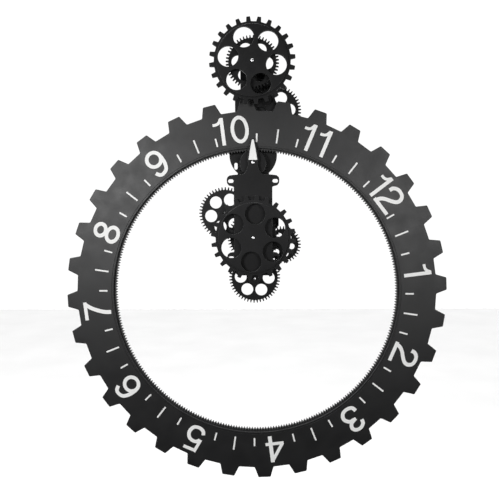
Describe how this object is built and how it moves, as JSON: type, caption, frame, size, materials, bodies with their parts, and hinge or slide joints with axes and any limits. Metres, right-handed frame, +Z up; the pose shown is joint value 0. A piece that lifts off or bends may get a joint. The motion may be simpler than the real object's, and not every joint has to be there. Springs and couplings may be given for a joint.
{
  "type": "skeleton wall clock",
  "caption": "Wall clock whose large toothed hour ring hangs on a driven pinion and turns past a fixed pointer, with exposed show gears above and below.",
  "frame": {"origin": "on the wall plane, straight behind the drive axle that carries the ring", "axes": "+X to the viewer's right, +Y into the wall, +Z up; the dial faces -Y"},
  "size_m": [0.55, 0.0878, 0.6603],
  "materials": {
    "black_plastic": "satin moulded",
    "ring_plastic": "satin moulded with white print",
    "case_plastic": "matte moulded",
    "steel": "turned",
    "battery_skin": "printed sleeve"
  },
  "bodies": {
    "tower": {"tower_housing": "black_plastic", "back_cover": "black_plastic", "front_plate": "black_plastic", "movement_case": "case_plastic", "battery": "battery_skin", "battery_spring": "steel", "battery_contact": "steel", "cover_screw_1": "steel", "cover_screw_2": "steel", "cover_screw_3": "steel", "cover_screw_4": "steel", "plate_screw_1": "steel", "plate_screw_2": "steel", "plate_screw_3": "steel", "upper_idler_pin": "steel", "top_idler_pin": "steel", "lower_idler_a_pin": "steel", "lower_idler_b_pin": "steel", "bottom_pin": "steel"},
    "hour_ring": {"ring_face": "ring_plastic", "ring_gear": "ring_plastic"},
    "drive_axle": {"drive_shaft": "steel", "drive_pinion": "black_plastic", "drive_wheel": "black_plastic"},
    "upper_idler_axle": {"upper_idler": "black_plastic"},
    "upper_right_axle": {"upper_right_shaft": "steel", "upper_right_wheel": "black_plastic"},
    "top_idler_axle": {"top_idler": "black_plastic"},
    "top_axle": {"top_shaft": "steel", "top_pinion": "black_plastic", "top_wheel": "black_plastic", "top_gear": "black_plastic"},
    "lower_idler_a_axle": {"lower_idler_a": "black_plastic"},
    "lower_idler_b_axle": {"lower_idler_b": "black_plastic"},
    "lower_axle": {"lower_shaft": "steel", "lower_pinion": "black_plastic", "lower_right_pinion": "black_plastic", "lower_wheel": "black_plastic", "lower_left_pinion": "black_plastic", "lower_gear": "black_plastic"},
    "left_axle": {"left_shaft": "steel", "left_wheel": "black_plastic"},
    "right_axle": {"right_shaft": "steel", "right_wheel": "black_plastic"},
    "bottom_axle": {"bottom_wheel": "black_plastic"},
    "setting_knob": {"setting_knob": "case_plastic"}
  },
  "joints": [
    {"name": "ring_turn", "type": "hinge", "parent": "tower", "child": "hour_ring", "pos_m": [0.0028, -0.0638, -0.18623], "axis": [0, -1, 0], "continuous": true},
    {"name": "drive_turn", "type": "hinge", "parent": "tower", "child": "drive_axle", "pos_m": [0, -0.052, 0], "axis": [0, -1, 0], "continuous": true},
    {"name": "upper_idler_turn", "type": "hinge", "parent": "tower", "child": "upper_idler_axle", "pos_m": [0.00729, -0.0515, 0.03295], "axis": [0, -1, 0], "continuous": true},
    {"name": "upper_right_turn", "type": "hinge", "parent": "tower", "child": "upper_right_axle", "pos_m": [0.0323, -0.0515, 0.0748], "axis": [0, -1, 0], "continuous": true},
    {"name": "top_idler_turn", "type": "hinge", "parent": "tower", "child": "top_idler_axle", "pos_m": [0.00513, -0.0515, 0.11346], "axis": [0, -1, 0], "continuous": true},
    {"name": "top_turn", "type": "hinge", "parent": "tower", "child": "top_axle", "pos_m": [0, -0.0745, 0.1392], "axis": [0, -1, 0], "continuous": true},
    {"name": "lower_idler_a_turn", "type": "hinge", "parent": "tower", "child": "lower_idler_a_axle", "pos_m": [-0.00376, -0.0515, -0.0358], "axis": [0, -1, 0], "continuous": true},
    {"name": "lower_idler_b_turn", "type": "hinge", "parent": "tower", "child": "lower_idler_b_axle", "pos_m": [0.00087, -0.0515, -0.06696], "axis": [0, -1, 0], "continuous": true},
    {"name": "lower_turn", "type": "hinge", "parent": "tower", "child": "lower_axle", "pos_m": [0, -0.0615, -0.1067], "axis": [0, -1, 0], "continuous": true},
    {"name": "left_turn", "type": "hinge", "parent": "tower", "child": "left_axle", "pos_m": [-0.04022, -0.0665, -0.0718], "axis": [0, -1, 0], "continuous": true},
    {"name": "right_turn", "type": "hinge", "parent": "tower", "child": "right_axle", "pos_m": [0.04206, -0.0565, -0.11781], "axis": [0, -1, 0], "continuous": true},
    {"name": "bottom_turn", "type": "hinge", "parent": "tower", "child": "bottom_axle", "pos_m": [0.0014, -0.0515, -0.16593], "axis": [0, -1, 0], "continuous": true},
    {"name": "knob_turn", "type": "hinge", "parent": "tower", "child": "setting_knob", "pos_m": [-0.0102, -0.003, 0.006], "axis": [0, -1, 0], "continuous": true}
  ],
  "couplings": [
    {"joint": "drive_turn", "follows": "ring_turn", "ratio": 11.643},
    {"joint": "upper_idler_turn", "follows": "ring_turn", "ratio": -19.176},
    {"joint": "upper_right_turn", "follows": "ring_turn", "ratio": 6.7917},
    {"joint": "top_idler_turn", "follows": "ring_turn", "ratio": -21.733},
    {"joint": "top_turn", "follows": "ring_turn", "ratio": 16.3},
    {"joint": "lower_idler_a_turn", "follows": "ring_turn", "ratio": -16.3},
    {"joint": "lower_idler_b_turn", "follows": "ring_turn", "ratio": 14.818},
    {"joint": "lower_turn", "follows": "ring_turn", "ratio": -10.516},
    {"joint": "left_turn", "follows": "ring_turn", "ratio": 5.039},
    {"joint": "right_turn", "follows": "ring_turn", "ratio": 7.4231},
    {"joint": "bottom_turn", "follows": "ring_turn", "ratio": 6.7917},
    {"joint": "knob_turn", "follows": "ring_turn", "ratio": -12}
  ]
}
